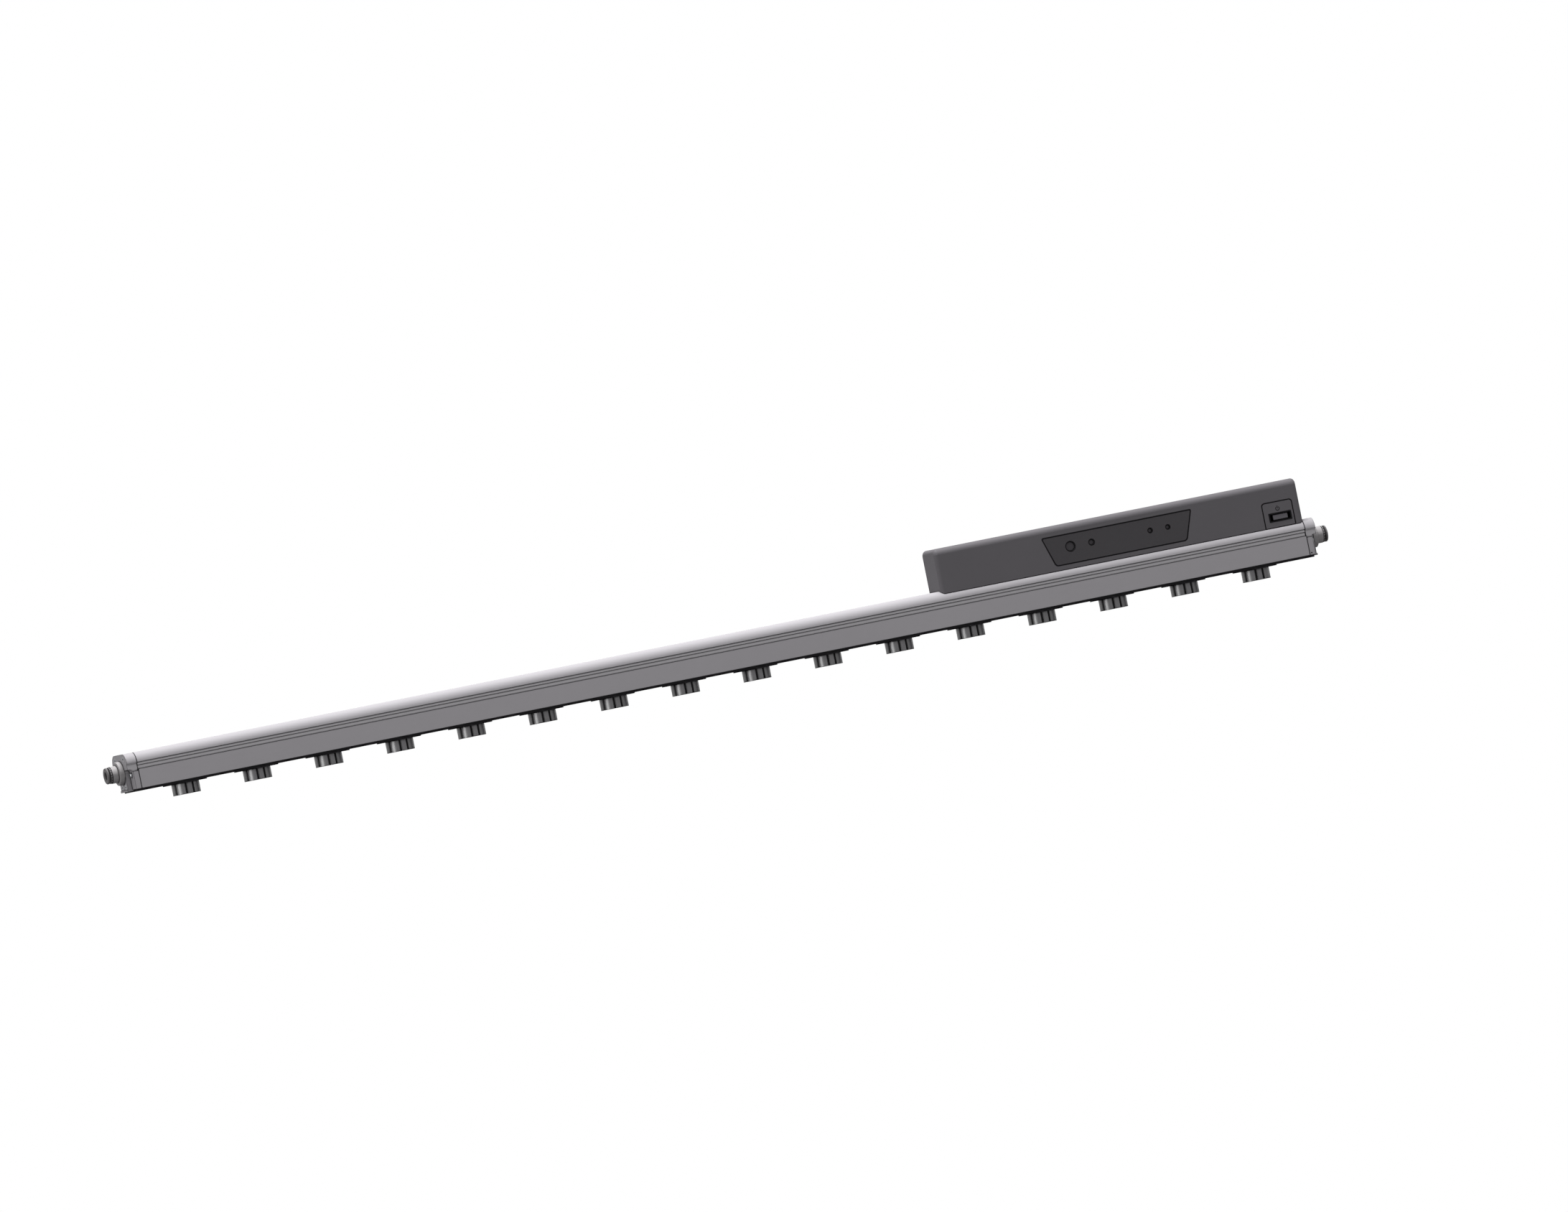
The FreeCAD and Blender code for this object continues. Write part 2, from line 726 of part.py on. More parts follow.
# End cap: a moulded block with the bar's shoulders, a hollow flank in line with the bracket
# groove, both lower corners notched, and an air passage from the fitting to the chamber
cap_half = [
    (HALF, SIDE_FOOT),
    (HALF, GROOVE_FOOT + " - flank_drop"),
    (HALF + " - flank_depth", GROOVE_FOOT + " - flank_drop"),
    (HALF + " - flank_depth", GROOVE_TOP + " - lip_slope"),
    (HALF, GROOVE_TOP),
    (HALF, "bar_top", "shoulder_radius"),
]
NOTCH_FLOOR = END + " + notch_depth"


def end_cap():
    foot = block((END + " - foot_lip", COVER_END + " - foot_gap"), about_middle("strip_width"),
                 (SIDE_FOOT + " - foot_drop", SIDE_FOOT + " - foot_drop + foot_height"))
    notch = [
        (END + " - " + PAST, SIDE_FOOT + " - " + PAST),
        (NOTCH_FLOOR, SIDE_FOOT + " - " + PAST),
        (NOTCH_FLOOR, "notch_top", "notch_corner"),
        (END + " - " + PAST, "notch_top"),
    ]
    spigot = (END + " - " + PAST, END + " + spigot_length")
    tools = [
        prism("y", notch, ("strip_width / 2", HALF + " + " + PAST)),
        prism("y", notch, ("-(%s) - %s" % (HALF, PAST), "-strip_width / 2")),
        rod("x", "spigot_radius + spigot_fit", spigot, ("0", "fitting_up")),
        block((END + " + spigot_length", CAP_INNER + " + " + PAST), about_middle("passage_width"),
              ("passage_foot", "passage_top")),
        rod("y", "pin_hole_radius", (HALF + " - pin_hole_depth", HALF + " + " + PAST),
            (END + " + pin_hole_inset", "pin_hole_up")),
    ]
    for place in CAP_SCREWS + FOOT_SCREWS:
        tools.append(rod("x", "cap_screw_radius + screw_clearance", past_ends((END, CAP_INNER)), place))
        tools.append(cone("x", "cap_screw_head + screw_gap", "cap_screw_radius + screw_gap",
                          (END, END + " + cap_screw_sink"), place))
    for place in NOTCH_SCREWS:
        tools.append(rod("x", "notch_screw_radius + screw_clearance", past_ends((END, CAP_INNER)), place))
    return cut(fuse(prism("x", mirrored(cap_half), (END, CAP_INNER)), foot), *tools)


at_both_ends(end_cap, "end_cap")

# End gasket: a thin sheet with the housing's end section, set back from the outside
gasket_half = [
    (HALF + " - gasket_setback", SIDE_FOOT),
    (HALF + " - gasket_setback", GROOVE_FOOT),
    (HALF + " - groove_lower_depth - gasket_setback", GROOVE_FOOT),
    (HALF + " - groove_lower_depth - gasket_setback", GROOVE_TOP),
    (HALF + " - gasket_setback", GROOVE_TOP),
    (HALF + " - gasket_setback", "bar_top - gasket_setback", "shoulder_radius - gasket_setback"),
]


def end_gasket():
    span = (CAP_INNER, HOUSING_END)
    tools = [cavity(past_ends(span))]
    for place in CAP_SCREWS:
        tools.append(rod("x", "cap_screw_radius + screw_clearance", past_ends(span), place))
    return cut(prism("x", mirrored(gasket_half), span), *tools)


at_both_ends(end_gasket, "end_gasket")

# Push-in air fitting: a body with a collar and a knurled mouth, which holds a seal ring, a
# grab collet and a release ring that slides in by its travel to free the tube
BARREL_END = END + " - collar_thickness - barrel_length"
MOUTH_START = BARREL_END + " - mouth_groove"
MOUTH_END = MOUTH_START + " - mouth_length"
TUBE_BORE = "tube_radius + tube_gap"
SEAL_START = END + " - seal_pocket_start"
SEAL_END = SEAL_START + " - seal_pocket_length"
CHAMBER_END = SEAL_END + " - collet_chamber_length"
COLLET_START = SEAL_END + " - ring_play"
COLLET_END = COLLET_START + " - collet_length"
SLEEVE_BORE = "tube_radius + sleeve_bore_gap"
FLANGE_START = MOUTH_END + " - release_travel - release_spare"
FLANGE_END = FLANGE_START + " - flange_thickness"


def on_fitting_axis(body):
    bind(body, "Placement.Base.z", "fitting_up")
    return body


def fitting_body():
    outline = [
        (END + " + spigot_length", "air_bore_radius"),
        (END + " + spigot_length", "spigot_radius"),
        (END, "spigot_radius"),
        (END, "collar_radius"),
        (END + " - collar_thickness", "collar_radius", "collar_edge"),
        (END + " - collar_thickness", "barrel_radius"),
        (BARREL_END, "barrel_radius"),
        (BARREL_END, "mouth_groove_radius"),
        (MOUTH_START, "mouth_groove_radius"),
        (MOUTH_START, "mouth_radius"),
        (MOUTH_END, "mouth_radius"),
        (MOUTH_END, "sleeve_radius + sleeve_gap"),
        (CHAMBER_END, "sleeve_radius + sleeve_gap"),
        (CHAMBER_END, "collet_chamber_radius"),
        (SEAL_END, "collet_chamber_radius"),
        (SEAL_END, "seal_pocket_radius"),
        (SEAL_START, "seal_pocket_radius"),
        (SEAL_START, TUBE_BORE),
        (END + " + tube_stop", TUBE_BORE),
        (END + " + tube_stop", "air_bore_radius"),
    ]
    body = on_fitting_axis(turned("x", outline))
    knurls = []
    count = int(number("knurl_count"))
    for index in range(count):
        angle = 2 * math.pi * index / count
        across, up = math.cos(angle), math.sin(angle)
        place = ("mouth_radius * %.9f" % across, "fitting_up + mouth_radius * %.9f" % up)
        knurls.append(rod("x", "knurl_radius", (MOUTH_END + " - " + PAST, MOUTH_START), place))
    return cut(body, *knurls)


def release_ring():
    sleeve_end = COLLET_END + " - release_travel - release_spare"
    outline = [
        (sleeve_end, SLEEVE_BORE),
        (sleeve_end, "sleeve_radius"),
        (FLANGE_START, "sleeve_radius"),
        (FLANGE_START, "flange_radius"),
        (FLANGE_END, "flange_radius", "flange_edge"),
        (FLANGE_END, SLEEVE_BORE + " + flange_funnel"),
        (FLANGE_END + " + flange_funnel", SLEEVE_BORE),
    ]
    return on_fitting_axis(turned("x", outline))


def ring_in(start, end, inner, outer):
    """A plain ring about the fitting's axis."""
    return on_fitting_axis(turned("x", [(start, inner), (start, outer), (end, outer), (end, inner)]))


at_both_ends(fitting_body, "fitting_body")
at_both_ends(release_ring, "release_ring")
both_places = [Placement(Vector(), Rotation(Vector(0, 0, 1), angle)) for side, angle in ENDS]
tube_seal = ring_in(SEAL_START + " - ring_play", SEAL_END, TUBE_BORE, "seal_pocket_radius - ring_fit")
group(tube_seal, both_places, "tube_seals")
collet = ring_in(COLLET_START, COLLET_END, SLEEVE_BORE, "collet_chamber_radius - ring_fit")
group(collet, both_places, "grab_collets")


# Screws: each is turned about Z with its head up and its shank down from z = 0, has a cross
# recess, and is then set at its places
def cross_recess(head_top, reach, depth):
    levels = (head_top + " - " + depth, head_top + " + " + PAST)
    long_slot = block(about_middle(reach), about_middle("cross_width"), levels)
    wide_slot = block(about_middle("cross_width"), about_middle(reach), levels)
    return fuse(long_slot, wide_slot)


def facing(direction):
    """The rotation that points a screw's head in a direction."""
    return Rotation(Vector(0, 0, 1), Vector(*direction))


flush_screw = cut(turned("z", [
    ("0", "-cap_screw_length"),
    ("cap_screw_radius", "-cap_screw_length"),
    ("cap_screw_radius", "-cap_screw_sink"),
    ("cap_screw_head", "0"),
    ("0", "0"),
]), cross_recess("0", "cap_screw_head * 1.2", "cap_screw_sink"))
flush_places = []
for sign in (-1, 1):
    for across, up in CAP_SCREWS + FOOT_SCREWS:
        spot = Vector(-sign * number(END), number(across), number(up))
        flush_places.append(Placement(spot, facing((sign, 0, 0))))
group(flush_screw, flush_places, "cap_screws")


def pan_screw(radius, head, head_height, length):
    outline = [
        ("0", "-" + length),
        (radius, "-" + length),
        (radius, "0"),
        (head, "0"),
        (head, head_height, head_height + " * 0.6"),
        ("0", head_height),
    ]
    return cut(turned("z", outline), cross_recess(head_height, head + " * 1.1", head_height + " * 0.6"))


notch_screw = pan_screw(
    "notch_screw_radius", "notch_screw_head", "notch_screw_head_height", "notch_screw_length")
notch_places = []
for sign in (-1, 1):
    for across, up in NOTCH_SCREWS:
        spot = Vector(-sign * number(NOTCH_FLOOR), number(across), number(up))
        notch_places.append(Placement(spot, facing((sign, 0, 0))))
group(notch_screw, notch_places, "carrier_screws")

# Controller base: a plate on the bar's flat top with posts for the cover's screws and for
# the control board
BASE_TOP = "bar_top + base_thickness"
POST_TOP = BASE_TOP + " + post_height"
BOX_BACK = "box_width / 2"
COVER_SCREWS = [
    BOX_START + " + post_start",
    MODULE_END + " + base_screw_gap + post_side",
    BOX_START + " + box_length * 2 / 3 + post_side",
    BOX_END + " - post_start",
]
BOARD_POSTS = [BOX_START + " + box_length / 2 - post_side", BOX_END + " - board_post_inset"]


def controller_base():
    plate = block((BOX_START + " + base_inset", BOX_END + " - base_inset"), about_middle("base_width"),
                  ("bar_top", BASE_TOP))
    solids = [plate]
    tools = [rod("z", LEAD_HOLE, past_ends(("bar_top", BASE_TOP)), LEAD)]
    back = BOX_BACK + " - box_wall - post_gap"
    for place in COVER_SCREWS:
        span = (place + " - post_side / 2", place + " + post_side / 2")
        solids.append(block(span, (back + " - post_depth", back), (BASE_TOP, POST_TOP)))
        reach = (BOX_BACK + " - box_screw_length", back + " + " + PAST)
        tools.append(rod("y", "box_screw_radius + screw_gap", reach, (place, "cover_screw_up")))
    for place in BOARD_POSTS:
        span = (place + " - post_side / 2", place + " + post_side / 2")
        solids.append(block(span, ("-board_post_front", "board_post_depth - board_post_front"),
                            (BASE_TOP, POST_TOP)))
    for place in BASE_SCREWS:
        tools.append(rod("z", "box_screw_radius + screw_gap", past_ends(("bar_top", BASE_TOP)), place))
    return cut(fuse(*solids), *tools)


node(controller_base(), "controller_base")

# High-voltage module: a potted block on the base, and its lead down to the bus
module_outline = [
    ("-module_width / 2", BASE_TOP),
    ("module_width / 2", BASE_TOP),
    ("module_width / 2", BASE_TOP + " + module_height", "module_edge"),
    ("-module_width / 2", BASE_TOP + " + module_height", "module_edge"),
]
module_span = (BOX_START + " + module_start", MODULE_END)
node(prism("x", module_outline, module_span), "high_voltage_module")
node(rod("z", "lead_radius", (BUS_TOP, BASE_TOP), LEAD), "high_voltage_lead")

# Control board: a circuit board on the posts, with its tallest parts soldered on
BOARD_START = BOX_START + " + board_start"
BOARD_TOP = POST_TOP + " + board_thickness"


def on_board(start, length, width, height):
    """A block part that stands on the board, start along it."""
    place = "%s + %s" % (BOARD_START, start)
    along = (place, place + " + " + length)
    return block(along, about_middle(width), (BOARD_TOP, BOARD_TOP + " + " + height))


def control_board():
    board_end = BOX_END + " - board_inset"
    solids = [
        block((BOARD_START, board_end), about_middle("board_width"), (POST_TOP, BOARD_TOP)),
        on_board("transformer_start", "transformer_length", "transformer_width", "transformer_height"),
        on_board("chip_start", "chip_side", "chip_side", "chip_height"),
        on_board("relay_start", "relay_length", "relay_width", "relay_height"),
    ]
    can = (BOARD_TOP, BOARD_TOP + " + capacitor_height")
    for index in range(2):
        place = "%s + capacitor_start + %d * capacitor_pitch" % (BOARD_START, index)
        solids.append(rod("z", "capacitor_radius", can, (place, "0")))
    return fuse(*solids)


node(control_board(), "control_board")

# Front panel of the controller: a film in a shallow trapezoid recess, with one receiver
# window and three indicator lenses
BOX_MIDDLE = BOX_START + " + box_length / 2"
FILM_BACK = BOX_FRONT + " + film_thickness"
LENSES = []
for name in ("one", "two", "three"):
    LENSES.append((BOX_MIDDLE + " + lens_%s_offset" % name, "lens_%s_radius" % name))
RECEIVER = (BOX_MIDDLE + " + receiver_offset", "receiver_radius")


def trapezoid(span, margin):
    """The panel's outline, made larger all round by a margin."""
    low, high = "film_foot - %s" % margin, "film_foot + film_height + %s" % margin
    foot, top = "film_foot_width / 2 + %s" % margin, "film_top_width / 2 + %s" % margin
    return prism("y", [
        (BOX_MIDDLE + " - (%s)" % foot, low, "film_foot_corner"),
        (BOX_MIDDLE + " + (%s)" % foot, low, "film_foot_corner"),
        (BOX_MIDDLE + " + (%s)" % top, high, "film_top_corner"),
        (BOX_MIDDLE + " - (%s)" % top, high, "film_top_corner"),
    ], span)


def window_tools(span):
    """A drill for each window, a little larger than what it holds."""
    return [rod("y", radius + " + lens_gap", span, (place, "window_up"))
            for place, radius in [RECEIVER] + LENSES]


film_span = (BOX_FRONT, FILM_BACK)
node(cut(trapezoid(film_span, "0"), *window_tools(past_ends(film_span))), "panel_film")
windows = doc.addObject("Part::Compound", "panel_windows")
windows.Links = [rod("y", RECEIVER[1], (BOX_FRONT + " + receiver_setback", BOX_FRONT + " + lens_length"),
                     (RECEIVER[0], "window_up"))]
for place, radius in LENSES:
    windows.Links += [rod("y", radius, (BOX_FRONT + " + lens_setback", BOX_FRONT + " + lens_length"),
                          (place, "window_up"))]
node(windows, "panel_windows")

# Socket plate and power socket at the right end of the front
PLATE_END = BOX_END + " - plate_inset"
PLATE_MIDDLE = PLATE_END + " - plate_width / 2"
SOCKET_MIDDLE = PLATE_MIDDLE + " + socket_shift"
WALL_BACK = BOX_FRONT + " + box_wall"
COVER_LOW = "bar_top - shoulder_radius"


def plate_outline(margin, low):
    half = "(plate_width / 2 + %s)" % margin
    return [
        (PLATE_MIDDLE + " - " + half, low),
        (PLATE_MIDDLE + " + " + half, low),
        (PLATE_MIDDLE + " + " + half, "plate_top + " + margin, "plate_corner"),
        (PLATE_MIDDLE + " - " + half, "plate_top + " + margin, "plate_corner"),
    ]


def socket_box(width, height, y_span):
    """A box about the middle of the socket."""
    return block((SOCKET_MIDDLE + " - (%s) / 2" % width, SOCKET_MIDDLE + " + (%s) / 2" % width), y_span,
                 ("socket_up - (%s) / 2" % height, "socket_up + (%s) / 2" % height))


def bar_outside():
    """The bar's outside above its sides, which the controller's lower edge follows."""
    half = [(HALF, SIDE_FOOT), (HALF, "bar_top", "shoulder_radius")]
    return prism("x", mirrored(half), (END, "-(%s)" % END))


def socket_plate():
    front = prism("y", plate_outline("0", COVER_LOW), (BOX_FRONT, WALL_BACK))
    flange_span = (WALL_BACK, WALL_BACK + " + plate_flange_thickness")
    flange = prism("y", plate_outline("plate_flange", COVER_LOW), flange_span)
    hole = socket_box("socket_width + 2 * socket_fit", "socket_height + 2 * socket_fit",
                      past_ends((BOX_FRONT, flange_span[1])))
    return cut(fuse(front, flange), bar_outside(), hole)


def power_socket():
    front, back = BOX_FRONT + " - socket_rise", BOX_FRONT + " + socket_depth"
    flange_start = WALL_BACK + " + plate_flange_thickness"
    shell = fuse(
        socket_box("socket_width", "socket_height", (front, back)),
        socket_box("socket_flange_width", "socket_flange_height",
                   (flange_start, flange_start + " + socket_flange_thickness")),
    )
    hollow = socket_box("socket_width - 2 * socket_wall", "socket_height - 2 * socket_wall",
                        (front + " - " + PAST, back + " - socket_back"))
    tongue = socket_box("tongue_width", "tongue_thickness", (BOX_FRONT + " + tongue_setback", back))
    return fuse(cut(shell, hollow), tongue)


node(socket_plate(), "socket_plate")
node(power_socket(), "power_socket")

# Controller cover: a moulded shell, rounded more along its top than at its ends, whose lower
# edge follows the bar's shoulders


def controller_cover():
    outside_half = [(BOX_BACK, COVER_LOW), (BOX_BACK, "box_top", "box_long_radius")]
    inside_half = [
        (BOX_BACK + " - box_wall", COVER_LOW + " - " + PAST),
        (BOX_BACK + " - box_wall", "box_top - box_wall", "box_long_radius - box_wall"),
    ]
    shell = prism("x", mirrored(outside_half), (BOX_START, BOX_END))
    doc.recompute([shell])
    ends = [number(BOX_START), number(BOX_END)]
    low = number(COVER_LOW)
    edges = []
    for index, edge in enumerate(shell.Shape.Edges):
        bounds = edge.BoundBox
        at_end = bounds.XLength < 1e-6 and min(abs(bounds.XMin - end) for end in ends) < 1e-6
        if at_end and bounds.ZMax > low + 1e-6:
            edges.append("Edge%d" % (index + 1))
    pad = shell.Tip
    rounding = shell.newObject("PartDesign::Fillet", "end_rounding")
    rounding.Base = (pad, edges)
    bind(rounding, "Radius", "box_end_radius")
    tools = [
        prism("x", mirrored(inside_half), (BOX_START + " + box_wall", BOX_END + " - box_wall")),
        bar_outside(),
        trapezoid((BOX_FRONT + " - " + PAST, FILM_BACK), "film_gap"),
        prism("y", plate_outline("plate_gap", COVER_LOW + " - " + PAST), past_ends((BOX_FRONT, WALL_BACK))),
    ]
    tools += window_tools(past_ends((BOX_FRONT, WALL_BACK)))
    for place in COVER_SCREWS:
        reach = (BOX_BACK + " - box_wall - " + PAST, BOX_BACK + " + " + PAST)
        tools.append(rod("y", "box_screw_radius + screw_clearance", reach, (place, "cover_screw_up")))
    return cut(shell, *tools)


node(controller_cover(), "controller_cover")

# Screws of the controller: four down through the base, four in from the back of the cover
box_screw = pan_screw("box_screw_radius", "box_screw_head", "box_screw_head_height", "box_screw_length")
box_places = []
for place, across in BASE_SCREWS:
    box_places.append(Placement(Vector(number(place), number(across), number(BASE_TOP)), Rotation()))
for place in COVER_SCREWS:
    spot = Vector(number(place), number(BOX_BACK), number("cover_screw_up"))
    box_places.append(Placement(spot, facing((0, 1, 0))))
group(box_screw, box_places, "controller_screws")

# Check every object, then write each piece
doc.recompute()
for item in doc.Objects:
    if "Invalid" in item.State or "Error" in item.State:
        raise RuntimeError("%s is %s" % (item.Name, item.State))
for item in nodes:
    if item.Shape.isNull() or not item.Shape.isValid():
        raise RuntimeError("%s has no valid shape" % item.Label)
os.makedirs("parts", exist_ok=True)
for item in nodes:
    item.Shape.exportStep("parts/%s.step" % item.Label)
print("%d nodes written" % len(nodes))
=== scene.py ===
import math

import bmesh
import bpy
from mathutils import Matrix, Vector


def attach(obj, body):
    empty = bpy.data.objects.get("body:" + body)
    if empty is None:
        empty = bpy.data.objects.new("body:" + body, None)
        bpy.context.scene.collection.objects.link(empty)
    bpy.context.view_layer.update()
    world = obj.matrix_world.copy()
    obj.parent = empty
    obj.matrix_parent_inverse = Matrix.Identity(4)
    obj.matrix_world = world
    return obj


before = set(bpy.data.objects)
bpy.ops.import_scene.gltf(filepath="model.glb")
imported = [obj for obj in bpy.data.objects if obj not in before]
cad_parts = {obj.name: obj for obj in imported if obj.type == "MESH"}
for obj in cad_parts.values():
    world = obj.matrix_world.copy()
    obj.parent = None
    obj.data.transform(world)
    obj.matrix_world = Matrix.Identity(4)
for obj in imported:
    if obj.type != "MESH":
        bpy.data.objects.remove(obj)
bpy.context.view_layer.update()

# Camera: the bar is seen level and square to its height, from 17.6 degrees to the left of its
# front, with parallel rays. The whole picture is rolled by 11.3 degrees, so the bar climbs.
MM = 0.001
VIEW_TURN = math.radians(17.6)
VIEW_ROLL = math.radians(11.277)
VIEW_WIDTH = 1.2332
VIEW_CENTRE = Vector((0.0632, 0, 0.053))
VIEW_DISTANCE = 2.2
VIEW_DEPTH = 20
towards_camera = Vector((-math.sin(VIEW_TURN), -math.cos(VIEW_TURN), 0))
level_right = Vector((math.cos(VIEW_TURN), -math.sin(VIEW_TURN), 0))
level_up = Vector((0, 0, 1))
picture_right = level_right * math.cos(VIEW_ROLL) - level_up * math.sin(VIEW_ROLL)
picture_up = level_right * math.sin(VIEW_ROLL) + level_up * math.cos(VIEW_ROLL)
camera_data = bpy.data.cameras.new("camera")
camera_data.type = "ORTHO"
camera_data.ortho_scale = VIEW_WIDTH
camera_data.clip_end = VIEW_DEPTH
camera = bpy.data.objects.new("camera", camera_data)
bpy.context.collection.objects.link(camera)
turn = Matrix((picture_right, picture_up, towards_camera)).transposed().to_4x4()
camera.matrix_world = Matrix.Translation(VIEW_CENTRE + towards_camera * VIEW_DISTANCE) @ turn
bpy.context.scene.camera = camera
bpy.context.scene.view_settings.view_transform = "Standard"


# Floor and light: a matt pale floor that the cartridges stand on, a white room whose ground
# carries on in the tone of the lit floor, a soft light high overhead, and a low one far off at
# the left that reaches in under the bar and gives the knobs their bright side.
def linear(colour):
    """An sRGB hex colour as linear values."""
    shares = [int(colour[place:place + 2], 16) / 255 for place in (1, 3, 5)]
    return [share / 12.92 if share <= 0.04045 else ((share + 0.055) / 1.055) ** 2.4 for share in shares] + [1]


def add_node(tree, kind, links=(), **settings):
    """A new node; links maps its inputs to values or to other nodes' outputs."""
    node = tree.nodes.new(kind)
    for name, value in settings.items():
        setattr(node, name, value)
    for socket, value in dict(links).items():
        if isinstance(value, bpy.types.NodeSocket):
            tree.links.new(value, node.inputs[socket])
        else:
            node.inputs[socket].default_value = value
    return node


def new_tree(name):
    """A material with an empty node tree."""
    material = bpy.data.materials.new(name)
    material.use_nodes = True
    material.node_tree.nodes.clear()
    return material, material.node_tree


matt_floor, tree = new_tree("matt_painted_floor")
coords = add_node(tree, "ShaderNodeTexCoord")
mottle = add_node(tree, "ShaderNodeTexNoise", {"Vector": coords.outputs["Object"], "Scale": 4, "Detail": 3})
tone = add_node(tree, "ShaderNodeMix", {
    "Factor": mottle.outputs["Fac"], "A": linear("#696969"), "B": linear("#6d6d6d")}, data_type="RGBA")
shade = add_node(tree, "ShaderNodeBsdfPrincipled", {
    "Base Color": tone.outputs["Result"], "Roughness": 0.9, "Specular IOR Level": 0.1})
add_node(tree, "ShaderNodeOutputMaterial", {"Surface": shade.outputs[0]})
FLOOR_REACH = 6
FLOOR_LEVEL = -0.2 * MM
floor_corners = [(x * FLOOR_REACH, y * FLOOR_REACH, FLOOR_LEVEL)
                 for x, y in ((-1, -1), (1, -1), (1, 1), (-1, 1))]
floor_mesh = bpy.data.meshes.new("floor")
floor_mesh.from_pydata(floor_corners, [], [(0, 1, 2, 3)])
floor_mesh.materials.append(matt_floor)
floor = bpy.data.objects.new("floor", floor_mesh)
bpy.context.collection.objects.link(floor)

room = bpy.data.worlds.new("white_room")
room.use_nodes = True
tree = room.node_tree
HORIZON = -0.01
coords = add_node(tree, "ShaderNodeTexCoord")
heading = add_node(tree, "ShaderNodeSeparateXYZ", {"Vector": coords.outputs["Generated"]})
downward = add_node(tree, "ShaderNodeMath", {0: heading.outputs["Z"], 1: HORIZON}, operation="LESS_THAN")
surround = add_node(tree, "ShaderNodeMix", {
    "Factor": downward.outputs[0], "A": linear("#ffffff"), "B": linear("#bcbcbc")}, data_type="RGBA")
tree.links.new(surround.outputs["Result"], tree.nodes["Background"].inputs["Color"])
bpy.context.scene.world = room


def soft_light(name, place, aim, width, height, power):
    """A rectangular light that faces a point."""
    data = bpy.data.lights.new(name, "AREA")
    data.shape = "RECTANGLE"
    data.size = width
    data.size_y = height
    data.energy = power
    lamp = bpy.data.objects.new(name, data)
    lamp.location = place
    lamp.rotation_euler = (Vector(place) - Vector(aim)).to_track_quat("Z", "Y").to_euler()
    bpy.context.collection.objects.link(lamp)


soft_light("overhead_light", (0, -0.2, 4), (0, 0, 0), 1.8, 0.9, 450)
soft_light("low_left_light", (-4.8, -1.35, 0.2), (0, 0, 0.01), 1.8, 0.4, 48)


# Bar housing: one length of ABS, extruded, which leaves faint straight lines from the die
# along it and a satin face. The bracket grooves carry painted light: a brighter tone on their
# upright faces that lifts the shade in them.
def dress(material, *names):
    """Give CAD nodes a finish."""
    for name in names:
        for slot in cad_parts[name].material_slots:
            slot.material = material


# Painted shade: the reach of the darkening in creases and along edges, and the dark tone laid there.
CREASE_SHADE_REACH = 1.2 * MM
EDGE_REACH = 0.6 * MM
PAINTED_SHADE_TONE = "#0e0d0f"
CLOUD_WIDTH = 35 * MM


def plastic(name, colour, darker, roughness, grain, relief, run=(1, 1, 1), sheen=0.04):
    """A solid-coloured plastic with a fine surface grain, with painted shade in its creases and a darker tone
    along its edges.

    grain is the grain's width and relief its depth, both in millimetres; run stretches the
    grain along each axis."""
    material, tree = new_tree(name)
    coords = add_node(tree, "ShaderNodeTexCoord")
    stretched = add_node(tree, "ShaderNodeMapping", {
        "Vector": coords.outputs["Object"], "Scale": [1 / (grain * MM * share) for share in run]})
    fine = add_node(tree, "ShaderNodeTexNoise", {
        "Vector": stretched.outputs[0], "Scale": 1, "Detail": 3, "Roughness": 0.6})
    cloud = add_node(tree, "ShaderNodeTexNoise", {
        "Vector": coords.outputs["Object"], "Scale": 1 / CLOUD_WIDTH, "Detail": 2})
    tone = add_node(tree, "ShaderNodeMix", {
        "Factor": cloud.outputs["Fac"], "A": linear(colour), "B": linear(darker)}, data_type="RGBA")
    # Painted shade: ambient occlusion turns the tone dark in creases; traced inside, it also darkens convex
    # edges.
    crease = add_node(tree, "ShaderNodeAmbientOcclusion", {"Distance": CREASE_SHADE_REACH}, samples=6)
    open_share = add_node(tree, "ShaderNodeMapRange", {
        "Value": crease.outputs["AO"], "From Min": 0.5, "From Max": 0.95})
    edge = add_node(tree, "ShaderNodeAmbientOcclusion", {"Distance": EDGE_REACH},
                    samples=6, inside=True, only_local=True)
    edge_share = add_node(tree, "ShaderNodeMapRange", {
        "Value": edge.outputs["AO"], "From Min": 0.5, "From Max": 0.9, "To Min": 0.15})
    shaded = add_node(tree, "ShaderNodeMath", {
        0: open_share.outputs[0], 1: edge_share.outputs[0]}, operation="MULTIPLY")
    painted_shade = add_node(tree, "ShaderNodeMix", {
        "Factor": shaded.outputs[0], "A": linear(PAINTED_SHADE_TONE), "B": tone.outputs["Result"]},
        data_type="RGBA", label="painted_shade")
    gloss = add_node(tree, "ShaderNodeMapRange", {
        "Value": fine.outputs["Fac"], "From Min": 0.3, "From Max": 0.7,
        "To Min": roughness - 0.05, "To Max": roughness + 0.05})
    bump = add_node(tree, "ShaderNodeBump", {
        "Height": fine.outputs["Fac"], "Distance": relief * MM, "Strength": 0.6})
    shade = add_node(tree, "ShaderNodeBsdfPrincipled", {
        "Base Color": painted_shade.outputs["Result"], "Roughness": gloss.outputs[0], "IOR": 1.5,
        "Specular IOR Level": sheen, "Normal": bump.outputs[0]})
    add_node(tree, "ShaderNodeOutputMaterial", {"Surface": shade.outputs[0]})
    return material


def lay_colour(material, share, colour):
    """Lay a second colour over a plastic's own, where a mask of its tree is 1."""
    tree = material.node_tree
    painted_shade = next(node for node in tree.nodes if node.label == "painted_shade")
    laid = add_node(tree, "ShaderNodeMix", {
        "Factor": share, "A": painted_shade.inputs["B"].links[0].from_socket, "B": linear(colour)}, data_type="RGBA")
    tree.links.new(laid.outputs["Result"], painted_shade.inputs["B"])


SIDEWAYS = 0.5


